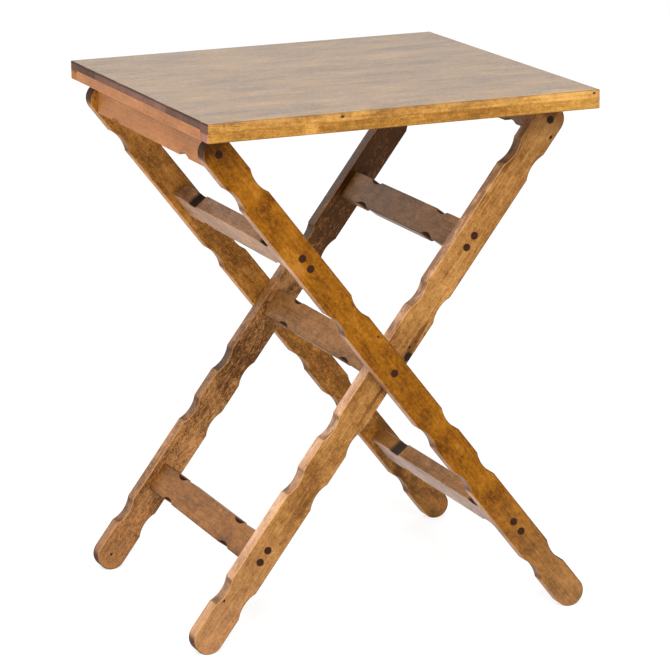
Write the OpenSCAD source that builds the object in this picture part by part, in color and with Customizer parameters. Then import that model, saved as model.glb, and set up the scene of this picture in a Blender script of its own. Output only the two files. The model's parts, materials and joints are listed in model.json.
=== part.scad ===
// Folding tray table: a light wooden slab on two scissored pairs of scalloped legs.
// X is the table's width, -Y is its front, Z = 0 is the floor and X = Y = 0 is under the slab's middle.
// The outer legs run from top left to bottom right, and the inner legs cross them.

/* [Overall] */
// Height of the slab's top face above the floor
table_h = 662; // [560:1:800]
// Width of the slab, along X
top_w = 500; // [460:1:620]
// Depth of the slab, along Y
top_d = 490; // [480:1:620]
// Lean of every leg from the vertical, in degrees
lean = 37.35; // [33:0.05:40]

/* [Slab] */
// Thickness of the boards glued edge to edge into the panel
board_t = 10; // [8:0.5:14]
// Height of the strips that thicken the slab's edges
strip_h = 13; // [10:0.5:18]
// Width of the front and rear strips
side_strip_w = 24; // [18:1:40]
// Width of the left and right strips, which carry the batten and the cleats
end_strip_w = 64; // [58:1:80]

/* [Legs] */
// Width of a leg board, seen from the front
leg_w = 38; // [34:1:40]
// Thickness of a leg board, along Y
leg_t = 20.5; // [18:0.5:24]
// How far the slab reaches out in front of the outer legs
front_overhang = 47; // [30:1:60]
// How far the slab reaches out behind the outer legs
rear_overhang = 19; // [10:1:40]
// How far each top pivot is set in from the slab's end
pivot_inset = 31; // [29:1:36]
// Depth of the top pivots under the slab's underside
pivot_drop = 23; // [22:0.5:25]

/* [Scallops] */
// Radius of a leg scallop's arc
scallop_r = 40; // [30:1:50]
// Depth of every scallop
scallop_deep = 4.5; // [3:0.5:5]
// Middle of the first scallop from either end of a leg
scallop_end = 77; // [60:1:90]
// Middle of the scallops on either side of the scissor pivot
scallop_mid = 96.5; // [80:0.5:110]
// Middle of the extra scallop below the scissor pivot
scallop_low = 174.5; // [160:0.5:190]
// Radius of a rail scallop's arc
rail_scallop_r = 29; // [20:1:40]
// Middle of a rail scallop from the rail's end
rail_scallop_end = 69; // [50:1:80]

/* [Rails] */
// Width of a rail, along the legs
rail_w = 38; // [34:1:40]
// Thickness of a rail, across the legs
rail_t = 20.5; // [16:0.5:22]
// Middle of the upper rails below the top pivot, along the leg
rail_under_pivot = 176.5; // [160:0.5:190]
// Middle of the lower rails above the middle of the leg's round foot
rail_over_foot = 120; // [100:1:140]
// Height of the batten and of the support bar
batten_h = 40.5; // [36:0.5:46]
// Thickness of the batten and of the support bar
batten_t = 20.5; // [16:0.5:24]

/* [Keeper cleats] */
// Width of a cleat
cleat_w = 16; // [12:1:18]
// Height of a cleat
cleat_h = 11; // [8:0.5:12]
// Clearance between a cleat's ends and the inner legs
cleat_end_gap = 18.5; // [12:0.5:60]
// Lead-in of the inboard cleat's face, per millimetre of its height
cleat_lead = 0.45; // [0.4:0.01:0.6]

/* [Fasteners] */
// Diameter of a wooden plug
plug_d = 9.5; // [8:0.5:12]
// Length of a wooden plug
plug_t = 6; // [4:0.5:8]
// Diameter of a screw's shank
screw_d = 4.5; // [4:0.1:6]
// Diameter of a screw's head
head_d = 8.4; // [7.5:0.1:9]
// Height of a screw's head
head_h = 3; // [2:0.1:4]
// Length of a rail or top pivot screw, under its head
screw_l = 45; // [36:1:55]
// Length of a scissor screw, under its head
scissor_screw_l = 66; // [58:1:76]
// Distance between the two screws in a rail's end
screw_gap = 17; // [14:0.5:20]
// Length of a batten screw, under its head
batten_screw_l = 32; // [28:1:36]
// Length of a cleat screw, under its head
cleat_screw_l = 16; // [14:1:20]
// Diameter of the dowels that stop the middle rail turning
dowel_d = 6; // [5:0.5:8]
// Length of those dowels
dowel_l = 22; // [16:1:28]
// Outer diameter of the washers
washer_d = 20; // [16:1:26]
// Thickness of the washers between the inner and outer legs
leg_washer_t = 2.5; // [1.5:0.5:4]
// Thickness of the washers at the top pivots
top_washer_t = 1; // [0.8:0.1:2]

/* [Fits] */
// Radial clearance of a pivot screw in the board that turns on it
running_fit = 0.05; // [0.02:0.01:0.1]
// Radial clearance of a fixed screw, dowel or plug in its hole
fixed_fit = 0.03; // [0.01:0.01:0.05]
// Clearance between a washer and the leg that turns against it
turning_gap = 0.1; // [0.05:0.05:0.3]
// Clearance above and below a pivot screw's head
head_gap = 0.5; // [0.3:0.1:1]
// Clearance between the support bar and each cleat
bar_gap = 0.4; // [0.3:0.1:1]

/* [Hidden] */
$fn = 96;
eps = 0.01;

// Shares of the slab's depth, from the front board to the rear board
board_shares = [0.05, 0.235, 0.075, 0.275, 0.17, 0.09, 0.105];
board_colours = ["#B99C72", "#AE9270", "#B79A78", "#B09478", "#B4987A", "#AB9070", "#B2966F"];

underside_z = table_h - board_t - strip_h;
pivot_z = underside_z - pivot_drop;
pivot_x = top_w / 2 - pivot_inset;
scissor_z = pivot_z - pivot_x / tan(lean);
leg_up = pivot_x / sin(lean);
leg_down = (scissor_z - leg_w / 2) / cos(lean);

// The leg frame's middle is set back from the slab's, and its faces are counted from that middle.
frame_back = (front_overhang - rear_overhang) / 2;
outer_face = (top_d - front_overhang - rear_overhang) / 2;
outer_inside = outer_face - leg_t;
inner_face = outer_inside - turning_gap - leg_washer_t;
inner_inside = inner_face - leg_t;
batten_l = 2 * (outer_inside - turning_gap - top_washer_t);
bar_l = 2 * (inner_inside - turning_gap - top_washer_t);
cleat_l = 2 * (inner_inside - cleat_end_gap);
rail_above = leg_up - rail_under_pivot;
rail_below = leg_down - rail_over_foot;

counterbore = plug_t + head_h + head_gap;
tip_l = screw_d;
leg_scallops = [
    leg_up + leg_w / 2 - scallop_end,
    scallop_mid,
    -scallop_mid,
    -scallop_low,
    scallop_end - leg_down - leg_w / 2
];
rail_screw_zs = [
    for (rail = [rail_above, -rail_below], side = [-1, 1]) rail + side * screw_gap / 2
];
batten_screw_ys = [-batten_l / 3, 0, batten_l / 3];
cleat_screw_ys = [-cleat_l * 0.4, 0, cleat_l * 0.4];
cleat_outboard_x = pivot_x + batten_t / 2 + bar_gap;
cleat_inboard_x = pivot_x - batten_t / 2 - bar_gap;

// ---- Placing ----

// Stands the upright leg frame on the floor: the outer legs lean left, the inner legs lean right.
module outer_lean() {
    translate([0, frame_back, scissor_z]) rotate([0, -lean, 0]) children();
}

module inner_lean() {
    translate([0, frame_back, scissor_z]) rotate([0, lean, 0]) children();
}

// The front side as drawn, and its mirror image at the rear.
module front_side() children();

module rear_side() mirror([0, 1, 0]) children();

module both_sides() {
    front_side() children();
    rear_side() children();
}

// Turns a drilling axis from Z to +Y, which is inwards from the front side.
module inwards() rotate([-90, 0, 0]) children();

// Turns an outline so that its X runs along Y and its Y runs up.
module along_y() rotate([90, 0, 90]) children();

// ---- Repeated shapes ----

module leg_outline() {
    difference() {
        union() {
            translate([-leg_w / 2, -leg_down]) square([leg_w, leg_up + leg_down]);
            translate([0, leg_up]) circle(d = leg_w);
            translate([0, -leg_down]) circle(d = leg_w);
        }
        for (z = leg_scallops, side = [-1, 1])
            translate([side * (leg_w / 2 + scallop_r - scallop_deep), z]) circle(r = scallop_r);
    }
}

// An upright leg on the front side, with its outer face at Y = -face.
module leg(face, fixed_zs, turning_zs) {
    difference() {
        translate([0, leg_t - face, 0]) rotate([90, 0, 0]) linear_extrude(leg_t) leg_outline();
        for (z = fixed_zs) translate([0, -face, z]) leg_drilling(fixed_fit);
        for (z = turning_zs) translate([0, -face, z]) leg_drilling(running_fit);
    }
}

// A plug's counterbore with a screw hole through the rest of the leg.
module leg_drilling(fit) {
    inwards() {
        translate([0, 0, -eps]) cylinder(d = plug_d + 2 * fixed_fit, h = counterbore + eps);
        cylinder(d = screw_d + 2 * fit, h = leg_t + eps);
    }
}

// A pilot hole into a rail's or a batten's end, whose end face is at Y = -half.
module pilot(half, depth) {
    translate([0, -half - eps, 0]) inwards() cylinder(d = screw_d + 2 * fixed_fit, h = depth + eps);
}

module screw(length) {
    difference() {
        union() {
            cylinder(d = head_d, h = head_h);
            translate([0, 0, head_h]) cylinder(d = screw_d, h = length - tip_l);
            translate([0, 0, head_h + length - tip_l]) cylinder(d1 = screw_d, d2 = 1, h = tip_l);
        }
        for (turn = [0, 90])
            rotate(turn) translate([-head_d * 0.3, -0.6, -eps]) cube([head_d * 0.6, 1.2, 1.6]);
    }
}

// A screw whose head sits at the bottom of a counterbore in the face at Y = -face.
module leg_screw(face, length = screw_l) {
    translate([0, -face + counterbore - head_h, 0]) inwards() screw(length);
}

module leg_plug(face) {
    translate([0, -face, 0]) inwards() cylinder(d = plug_d, h = plug_t);
}

module washer(inner_y, thickness) {
    translate([0, -inner_y - thickness, 0]) inwards() difference() {
        cylinder(d = washer_d, h = thickness);
        translate([0, 0, -eps]) cylinder(d = screw_d + 2 * running_fit, h = thickness + 2 * eps);
    }
}

// A board outline of that length and width, with scallops on the edges at the sides listed.
module scalloped_outline(length, width, sides) {
    difference() {
        square([length, width], center = true);
        for (end = [-1, 1], side = sides)
            translate([
                end * (length / 2 - rail_scallop_end),
                side * (width / 2 + rail_scallop_r - scallop_deep)
            ]) circle(r = rail_scallop_r);
    }
}

// An upright rail between two legs whose inside faces are at Y = -half and Y = half.
module rail(half) {
    along_y() linear_extrude(rail_t, center = true)
        scalloped_outline(2 * half, rail_w, [-1, 1]);
}

// A rail drilled for two screws in each end.
module screwed_rail(half) {
    difference() {
        rail(half);
        both_sides() for (side = [-1, 1])
            translate([0, 0, side * screw_gap / 2]) pilot(half, pilot_depth(screw_l, leg_t));
    }
}

// How deep a pilot hole goes for a screw that first passes through legs and washers.
function pilot_depth(length, passed) = counterbore + length - passed + 1;

// The batten's and the support bar's shape, about its own pivot line.
module hanging_bar(length) {
    difference() {
        translate([0, 0, pivot_drop - batten_h / 2]) along_y()
            linear_extrude(batten_t, center = true) scalloped_outline(length, batten_h, [-1]);
        both_sides() pilot(length / 2, pilot_depth(screw_l, leg_t + turning_gap + top_washer_t));
    }
}

// ---- Outer legs ----

module outer_leg() {
    leg(outer_face, rail_screw_zs, [0, leg_up]);
}

module outer_leg_front() {
    color("#A86E2C") outer_lean() front_side() outer_leg();
}

module outer_leg_rear() {
    color("#8C5A26") outer_lean() rear_side() outer_leg();
}

module outer_rail_upper() {
    color("#A58468") outer_lean() translate([0, 0, rail_above]) screwed_rail(outer_inside);
}

module outer_rail_lower() {
    color("#A58468") outer_lean() translate([0, 0, -rail_below]) screwed_rail(outer_inside);
}

module outer_rail_screws() {
    color("#B9B9B4") outer_lean() both_sides()
        for (z = rail_screw_zs) translate([0, 0, z]) leg_screw(outer_face);
}

module outer_rail_plugs_front() {
    color("#3A1F18") outer_lean() front_side()
        for (z = rail_screw_zs) translate([0, 0, z]) leg_plug(outer_face);
}

module outer_rail_plugs_rear() {
    color("#3A1F18") outer_lean() rear_side()
        for (z = rail_screw_zs) translate([0, 0, z]) leg_plug(outer_face);
}

module scissor_plugs() {
    color("#3A1F18") outer_lean() both_sides() leg_plug(outer_face);
}

module batten_pivot_plugs() {
    color("#3A1F18") outer_lean() both_sides() translate([0, 0, leg_up]) leg_plug(outer_face);
}

// ---- Inner legs ----

module inner_leg() {
    difference() {
        leg(inner_face, rail_screw_zs, [leg_up]);
        translate([0, -inner_face - eps, 0]) inwards()
            cylinder(d = screw_d + 2 * fixed_fit, h = leg_t + 2 * eps);
        for (side = [-1, 1]) dowel_at(side) dowel_hole();
    }
}

module inner_leg_front() {
    color("#B98A54") inner_lean() front_side() inner_leg();
}

module inner_leg_rear() {
    color("#8A5A34") inner_lean() rear_side() inner_leg();
}

module inner_rail_upper() {
    color("#8E6B4E") inner_lean() translate([0, 0, rail_above]) screwed_rail(inner_inside);
}

module inner_rail_lower() {
    color("#A87B50") inner_lean() translate([0, 0, -rail_below]) screwed_rail(inner_inside);
}

// The middle rail sits on the scissor pivot and holds the inner ends of its screws.
module middle_rail() {
    color("#A98560") inner_lean() difference() {
        rail(inner_inside);
        both_sides() {
            pilot(inner_inside, pilot_depth(scissor_screw_l, outer_face - inner_inside));
            for (side = [-1, 1]) dowel_at(side) dowel_hole();
        }
    }
}

// Puts a dowel across the joint between an inner leg and the middle rail.
module dowel_at(side) {
    translate([0, -inner_inside - dowel_l / 2, side * rail_w / 4]) inwards() children();
}

module dowel_hole() cylinder(d = dowel_d + 2 * fixed_fit, h = dowel_l);

module middle_rail_dowels() {
    color("#C9A878") inner_lean() both_sides()
        for (side = [-1, 1]) dowel_at(side) cylinder(d = dowel_d, h = dowel_l);
}

module inner_rail_screws() {
    color("#B9B9B4") inner_lean() both_sides()
        for (z = rail_screw_zs) translate([0, 0, z]) leg_screw(inner_face);
}

module inner_rail_plugs_front() {
    color("#3A1F18") inner_lean() front_side()
        for (z = rail_screw_zs) translate([0, 0, z]) leg_plug(inner_face);
}

module inner_rail_plugs_rear() {
    color("#3A1F18") inner_lean() rear_side()
        for (z = rail_screw_zs) translate([0, 0, z]) leg_plug(inner_face);
}

module bar_pivot_plugs() {
    color("#3A1F18") inner_lean() both_sides() translate([0, 0, leg_up]) leg_plug(inner_face);
}

module scissor_screws() {
    color("#B9B9B4") inner_lean() both_sides() leg_screw(outer_face, scissor_screw_l);
}

module scissor_washers() {
    color("#C8C8C2") inner_lean() both_sides() washer(inner_face, leg_washer_t);
}

// ---- Slab ----

// Sum of the shares of the boards in front of board i.
function share_before(i) = i <= 0 ? 0 : board_shares[i - 1] + share_before(i - 1);

module board(i) {
    color(board_colours[i]) translate([
        -top_w / 2,
        top_d * (share_before(i) - 0.5),
        table_h - board_t
    ]) cube([top_w, top_d * board_shares[i], board_t]);
}

module board_1() board(0);
module board_2() board(1);
module board_3() board(2);
module board_4() board(3);
module board_5() board(4);
module board_6() board(5);
module board_7() board(6);

module front_strip() {
    color("#C49142") translate([-top_w / 2, -top_d / 2, underside_z])
        cube([top_w, side_strip_w, strip_h]);
}

module rear_strip() {
    color("#C49142") translate([-top_w / 2, top_d / 2 - side_strip_w, underside_z])
        cube([top_w, side_strip_w, strip_h]);
}

// The strip under an end of the slab, with its outer edge at X = 0 and X rising inwards.
module end_strip() {
    translate([0, -top_d / 2 + side_strip_w, underside_z])
        cube([end_strip_w, top_d - 2 * side_strip_w, strip_h]);
}

module left_strip() {
    color("#BC8660") difference() {
        translate([-top_w / 2, 0, 0]) end_strip();
        batten_screw_places() batten_drilling();
    }
}

module right_strip() {
    color("#BC8660") difference() {
        translate([top_w / 2, 0, 0]) mirror([1, 0, 0]) end_strip();
        cleat_screw_places() cleat_drilling();
    }
}

// ---- Batten and its screws ----

module at_left_pivot() translate([-pivot_x, frame_back, pivot_z]) children();

module batten() {
    color("#BC8660") difference() {
        at_left_pivot() hanging_bar(batten_l);
        batten_screw_places() batten_drilling();
    }
}

// The batten screws rise from deep counterbores in the batten's lower edge.
module batten_screw_places() {
    for (y = batten_screw_ys) translate([-pivot_x, frame_back + y, batten_head_z]) children();
}

batten_head_z = underside_z + strip_h - 1 - batten_screw_l - head_h;

module batten_drilling() {
    translate([0, 0, -batten_h]) cylinder(d = head_d + 1, h = batten_h + head_h);
    cylinder(d = screw_d + 2 * fixed_fit, h = head_h + batten_screw_l + 0.5);
}

module batten_screws() {
    color("#B9B9B4") batten_screw_places() screw(batten_screw_l);
}

module batten_pivot_screws() {
    color("#B9B9B4") at_left_pivot() both_sides() leg_screw(outer_face);
}

module batten_washers() {
    color("#C8C8C2") at_left_pivot() both_sides() washer(batten_l / 2, top_washer_t);
}

// ---- Keeper cleats ----

module outboard_cleat() {
    color("#A98258") difference() {
        translate([cleat_outboard_x, frame_back - cleat_l / 2, underside_z - cleat_h])
            cube([cleat_w, cleat_l, cleat_h]);
        cleat_screw_places() cleat_drilling();
    }
}

// The inboard cleat's face leans back, so that the bar can drop out as the legs close.
module inboard_cleat() {
    color("#A98258") difference() {
        translate([cleat_inboard_x, frame_back + cleat_l / 2, underside_z]) rotate([90, 0, 0])
            linear_extrude(cleat_l) polygon([
                [0, 0],
                [-cleat_lead * cleat_h, -cleat_h],
                [-cleat_w, -cleat_h],
                [-cleat_w, 0]
            ]);
        cleat_screw_places() cleat_drilling();
    }
}

// Each cleat has a row of countersunk screws up into the right strip.
module cleat_screw_places() {
    rows = [
        cleat_outboard_x + cleat_w / 2,
        cleat_inboard_x - (cleat_w + cleat_lead * cleat_h) / 2
    ];
    for (x = rows, y = cleat_screw_ys)
        translate([x, frame_back + y, underside_z - cleat_h + 1]) children();
}

module cleat_drilling() {
    translate([0, 0, -2]) cylinder(d = head_d + 0.4, h = head_h + 2);
    cylinder(d = screw_d + 2 * fixed_fit, h = head_h + cleat_screw_l + 0.5);
}

module cleat_screws() {
    color("#B9B9B4") cleat_screw_places() screw(cleat_screw_l);
}

// ---- Support bar ----

module at_right_pivot() translate([pivot_x, frame_back, pivot_z]) children();

module support_bar() {
    color("#B5895E") at_right_pivot() hanging_bar(bar_l);
}

module bar_pivot_screws() {
    color("#B9B9B4") at_right_pivot() both_sides() leg_screw(inner_face);
}

module bar_washers() {
    color("#C8C8C2") at_right_pivot() both_sides() washer(bar_l / 2, top_washer_t);
}

outer_leg_front();
outer_leg_rear();
outer_rail_upper();
outer_rail_lower();
outer_rail_screws();
outer_rail_plugs_front();
outer_rail_plugs_rear();
scissor_plugs();
batten_pivot_plugs();
inner_leg_front();
inner_leg_rear();
inner_rail_upper();
inner_rail_lower();
middle_rail();
middle_rail_dowels();
inner_rail_screws();
inner_rail_plugs_front();
inner_rail_plugs_rear();
bar_pivot_plugs();
scissor_screws();
scissor_washers();
board_1();
board_2();
board_3();
board_4();
board_5();
board_6();
board_7();
front_strip();
rear_strip();
left_strip();
right_strip();
batten();
batten_screws();
batten_pivot_screws();
batten_washers();
outboard_cleat();
inboard_cleat();
cleat_screws();
support_bar();
bar_pivot_screws();
bar_washers();
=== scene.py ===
import json
import math

import bpy
import numpy as np
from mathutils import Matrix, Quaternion, Vector


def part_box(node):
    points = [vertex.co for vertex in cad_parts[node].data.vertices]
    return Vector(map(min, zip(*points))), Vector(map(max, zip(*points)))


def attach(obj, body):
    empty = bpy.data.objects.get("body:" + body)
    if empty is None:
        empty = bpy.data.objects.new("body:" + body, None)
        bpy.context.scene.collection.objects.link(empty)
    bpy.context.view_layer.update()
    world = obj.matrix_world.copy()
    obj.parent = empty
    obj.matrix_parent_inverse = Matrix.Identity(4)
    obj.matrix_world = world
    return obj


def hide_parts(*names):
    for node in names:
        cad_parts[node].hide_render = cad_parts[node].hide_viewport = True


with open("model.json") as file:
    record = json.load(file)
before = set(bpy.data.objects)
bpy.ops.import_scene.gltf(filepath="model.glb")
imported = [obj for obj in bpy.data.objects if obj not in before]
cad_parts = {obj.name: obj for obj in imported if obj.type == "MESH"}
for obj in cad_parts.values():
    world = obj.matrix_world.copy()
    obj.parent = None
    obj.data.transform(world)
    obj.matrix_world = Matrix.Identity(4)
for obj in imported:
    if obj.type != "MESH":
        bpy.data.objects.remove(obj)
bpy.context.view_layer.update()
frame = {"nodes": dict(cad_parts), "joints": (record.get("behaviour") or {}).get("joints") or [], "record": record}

MM = 0.001

# ---- Shapes that the frame's boxes don't give ----
SCALLOP_R = 40 * MM         # arc of a leg scallop
SCALLOP_DEEP = 4.5 * MM     # bite of every scallop
SCALLOP_END = 77 * MM       # first scallop from a leg's end
SCALLOP_MID = 96.5 * MM     # scallops beside the scissor pivot
SCALLOP_LOW = 174.5 * MM    # extra scallop below the scissor pivot
RAIL_SCALLOP_R = 29 * MM    # arc of a rail scallop
RAIL_SCALLOP_END = 69 * MM  # rail scallop from the rail's end
RAIL_THICK = 20.5 * MM
RAIL_WIDE = 38 * MM
SCREW_GAP = 17 * MM         # between the two plugs of a rail
PLUG_R = 4.75 * MM
PLUG_DEEP = 6 * MM
PLUG_PROUD = 0.25 * MM      # how far a plug's dome stands out of its leg

LEG_EASE = 1.1 * MM         # rounding of a leg's arrises
RAIL_EASE = 0.9 * MM
SLAB_EASE = 1.2 * MM        # the slab's outer arrises
GLUE_EASE = 0.12 * MM       # a glued joint's hairline
SLAB_CORNER = 1.6 * MM      # the slab's upright corners
SUPPORT = 0.3 * MM          # narrow ring beside a rounding, which keeps the flat flat
ARC_STEPS = 4               # faces across a rounded arris
HOLLOW_STEPS = 16           # faces along a scallop
RUN_STEP = 30 * MM          # faces along a straight edge
CREASE = math.radians(25)   # edges that turn further than this stay sharp

SLOTS = {part["node"]: part["material_slot"] for part in frame["record"]["subparts"]}
BODY_OF = {
    node: body
    for body, nodes in frame["record"]["behaviour"]["bodies"].items()
    for node in nodes
}
PIVOTS = {joint["name"]: np.array(joint["pos_m"]) for joint in frame["joints"]}


def corners(node):
    """Lowest and highest corner of a CAD node, as arrays."""
    low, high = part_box(node)
    return np.array(low), np.array(high)


# ---- Boards ----

def run(start, end):
    """Points along a straight run, about RUN_STEP apart."""
    return np.linspace(start, end, max(2, int(round((end - start) / RUN_STEP)) + 1))


def bitten_edge(start, end, hollows, radius):
    """One edge of an outline: how far along each point is, and how deep it lies in a hollow. A
    hollow is the arc where a circle, its middle outside the edge, bites in by SCALLOP_DEEP."""
    half = math.sqrt(2 * radius * SCALLOP_DEEP - SCALLOP_DEEP ** 2)
    turn = np.linspace(-1, 1, HOLLOW_STEPS + 1)[1:-1] * math.asin(half / radius)
    along, bite = [], []
    for middle in sorted(hollows):
        along += [run(start, middle - half), middle + radius * np.sin(turn)]
        bite += [0 * along[-2], SCALLOP_DEEP - radius * (1 - np.cos(turn))]
        start = middle + half
    along.append(run(start, end))
    bite.append(0 * along[-1])
    return np.concatenate(along), np.concatenate(bite)


def outline(length, width, corner, low_hollows=(), high_hollows=(), radius=SCALLOP_R):
    """Closed outline of a board about its own middle, anticlockwise: low edge, right end, high
    edge, left end. corner gives the radius of the quarter circle after each edge, or 0.
    Returns the points, the edge number of each point, which runs on through the quarter
    circles, and the depth of the bite at each point."""
    half = np.array([length, width]) / 2
    ahead = np.array([[1, 0], [0, 1], [-1, 0], [0, -1]])
    points, numbers, bites = [], [], []
    for edge in range(4):
        reach, away = half[edge % 2], half[1 - edge % 2]
        hollows = (low_hollows, (), [-middle for middle in high_hollows], ())[edge]
        start, end = corner[edge - 1] - reach, reach - corner[edge]
        along, bite = np.array([start]), np.zeros(1)
        if end - start > MM:
            along, bite = bitten_edge(start, end, hollows, radius)
            along, bite = along[:-1], bite[:-1]
        points.append(along[:, None] * ahead[edge] + (away - bite)[:, None] * ahead[edge - 1])
        numbers.append(np.full(len(along), float(edge)))
        bites.append(bite)
        if corner[edge]:
            steps = 2 + int(5 * math.sqrt(corner[edge] / MM))
            turn = np.linspace(0, 1, steps + 1)[0 if end - start > MM else 1:-1]
            angle = turn[:, None] * math.pi / 2
            middle = (reach - corner[edge]) * ahead[edge] + (away - corner[edge]) * ahead[edge - 1]
            spoke = np.cos(angle) * ahead[edge - 1] + np.sin(angle) * ahead[edge]
            points.append(middle + corner[edge] * spoke)
            numbers.append(edge + turn)
            bites.append(np.zeros(len(turn)))
    return np.concatenate(points), np.concatenate(numbers), np.concatenate(bites)


def insets(points, numbers, widths):
    """How each corner of the outline moves in when the edge before it and the edge after it move
    in by their own widths: the sum of the two normals shares their mean width, and their
    difference shares half the difference of the widths, where the corner is a sharp one."""
    ahead = np.roll(points, -1, axis=0) - points
    ahead /= np.linalg.norm(ahead, axis=1)[:, None]
    normal_after = np.stack([-ahead[:, 1], ahead[:, 0]], axis=1)
    normal_before = np.roll(normal_after, 1, axis=0)
    ring = np.append(widths, widths[0])
    number_after = np.roll(numbers, -1)
    number_after[-1] += 4 if number_after[-1] < numbers[-1] else 0
    around = np.where(number_after == numbers + 1, numbers, (numbers + number_after) / 2)
    width_after = np.interp(around, range(5), ring)
    width_before = np.roll(width_after, 1)
    cosine = (normal_before * normal_after).sum(1)
    mean = (width_before + width_after) / 2 / (1 + cosine)
    sharp = 1 - cosine > 0.05
    differ = np.where(sharp, (width_before - width_after) / 2 / np.where(sharp, 1 - cosine, 1), 0)
    inward = mean[:, None] * (normal_before + normal_after)
    inward += differ[:, None] * (normal_before - normal_after)
    outwards = -(normal_before + normal_after)
    outwards /= np.linalg.norm(outwards, axis=1)[:, None]
    return inward, np.maximum(width_before, width_after), outwards


def wander(count, random, share=0.25, waves=9):
    """A gentle unevenness round a closed outline: 1 plus a few sines of random height and phase,
    whose whole number of waves closes the ring."""
    turn = np.arange(count)[:, None] / count * 2 * math.pi
    number = random.integers(1, 24, waves)
    phase = random.uniform(0, 2 * math.pi, waves)
    height = random.uniform(-1, 1, waves) * share / math.sqrt(waves)
    return 1 + (np.sin(turn * number + phase) * height).sum(1)


def put_mesh(name, points, faces, layers):
    """Makes an object of a mesh, its faces turned outwards, with a value of each layer on every
    point. The signed volume, the sum of each face fan's triple products, tells the way round."""
    volume = 0.0
    for face in faces[:: max(1, len(faces) // 4000)]:
        corner = points[face]
        fan = np.cross(corner[1:-1] - points[0], corner[2:] - points[0])
        volume += ((corner[0] - points[0]) * fan).sum()
    if volume < 0:
        faces = [face[::-1] for face in faces]
    mesh = bpy.data.meshes.new(name)
    mesh.from_pydata(points.tolist(), [], [list(map(int, face)) for face in faces])
    for layer, values in layers.items():
        kind, key = ("FLOAT_VECTOR", "vector") if values.ndim == 2 else ("FLOAT", "value")
        mesh.attributes.new(layer, kind, "POINT").data.foreach_set(key, values.astype(np.float32).ravel())
    mesh.polygons.foreach_set("use_smooth", [True] * len(mesh.polygons))
    mesh.update()
    mesh.set_sharp_from_angle(angle=CREASE)
    piece = bpy.data.objects.new(name, mesh)
    bpy.context.scene.collection.objects.link(piece)
    return piece


def skin(rows, columns):
    """Faces of a tube of that many rings, its ends closed by one face each."""
    row, column = np.meshgrid(np.arange(rows - 1), np.arange(columns), indexing="ij")
    after = (column + 1) % columns
    quads = np.stack([row * columns + column, row * columns + after,
                      (row + 1) * columns + after, (row + 1) * columns + column], axis=-1)
    first = np.arange(columns)[::-1]
    last = (rows - 1) * columns + np.arange(columns)
    return list(quads.reshape(-1, 4)) + [first, last]


def eased_board(name, shape, thickness, place, front, back=None, seed=0, uneven=0.25):
    """A board: the point of the surface at (turn round the outline, way across the thickness).
    Across the thickness it goes over the front face, round a quarter circle of the arris, down
    the side, round the back arris and over the back face. shape is what outline returns. place
    turns (along, across, deep) into the table's own axes. front and back give the arris width
    on each of the four edges."""
    points, numbers, bites = shape
    random = np.random.default_rng(seed)
    back = front if back is None else back
    angle = np.linspace(0, math.pi / 2, ARC_STEPS + 1)
    rings = []
    for widths, side in ((front, 0), (back, 1)):
        inward, deep, outwards = insets(points, numbers, np.array(widths))
        rough = wander(len(points), random, uneven)
        inward, deep = inward * rough[:, None], deep * rough
        unit = inward / np.maximum(np.linalg.norm(inward, axis=1), 1e-9)[:, None]
        face = [(points + inward + unit * SUPPORT * 1.4, 0 * deep, 0, 0)]
        for a in angle:
            face.append((points + inward * (1 - math.sin(a)), deep * (1 - math.cos(a)),
                         math.sin(a), math.sin(2 * a)))
        face.append((points, deep + SUPPORT, 1, 0))
        if side:
            face = [(p, thickness - z, s, r) for p, z, s, r in reversed(face)]
        rings += face
    flat = np.concatenate([np.column_stack([p, z]) for p, z, s, r in rings])
    ended, low_side = np.abs(outwards[:, 0]), np.maximum(-outwards[:, 1], 0)
    high_side = np.maximum(outwards[:, 1], 0)
    layers = {
        "grain": flat + random.uniform(-3, 3, 3),
        "board": flat.copy(),
        "side": np.concatenate([np.full(len(points), s) for p, z, s, r in rings]),
        "endgrain": np.concatenate([ended * s for p, z, s, r in rings]),
        "hollow": np.concatenate([np.minimum(bites / SCALLOP_DEEP * 2, 1) * s for p, z, s, r in rings]),
        # Where the painted shade line lies (the low and end arrises) and where the painted highlight line lies
        # (the high arrises).
        "shade_lined_arris": np.concatenate([np.maximum(low_side, ended) * r for p, z, s, r in rings]),
        "highlight_lined_arris": np.concatenate([high_side * r for p, z, s, r in rings]),
    }
    origin, along, across, inwards = place
    world = origin + flat[:, :1] * along + flat[:, 1:2] * across + flat[:, 2:] * inwards
    return put_mesh(name, world, skin(len(rings), len(points)), layers)


def domed_plug(name, middles, inwards, seed):
    """Plugs in one piece: each is a profile turned about its own axis, a low dome that rounds
    over at the rim and runs down into the leg."""
    random = np.random.default_rng(seed)
    reach = PLUG_R * np.array([0.35, 0.7, 0.9, 0.96, 1.0, 1.0, 0.97])
    height = np.array([PLUG_PROUD, PLUG_PROUD * 0.8, PLUG_PROUD * 0.45, 0, -0.35 * MM, -PLUG_DEEP + 0.2 * MM,
                       -PLUG_DEEP])
    columns = 40
    turn = np.arange(columns) / columns * 2 * math.pi
    side = np.cross(inwards, [0, 0, 1.0])
    side /= np.linalg.norm(side)
    up = np.cross(side, inwards)
    points, grain, faces, rim = [], [], [], []
    for middle in middles:
        tilt = random.uniform(0, math.pi)
        spokes = np.cos(turn)[:, None] * side + np.sin(turn)[:, None] * up
        rings = middle + reach[:, None, None] * spokes - height[:, None, None] * inwards
        first = sum(len(p) for p in points)
        points.append(rings.reshape(-1, 3))
        flat = np.stack([np.outer(reach, np.cos(turn + tilt)), np.outer(reach, np.sin(turn + tilt)),
                         np.outer(height, np.ones(columns))], axis=-1)
        grain.append(flat.reshape(-1, 3) + random.uniform(-1, 1, 3))
        rim.append(np.repeat(reach / PLUG_R, columns))
        faces += [face + first for face in skin(len(reach), columns)]
    layers = {"grain": np.concatenate(grain), "rim": np.concatenate(rim)}
    return put_mesh(name, np.concatenate(points), faces, layers)
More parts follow.
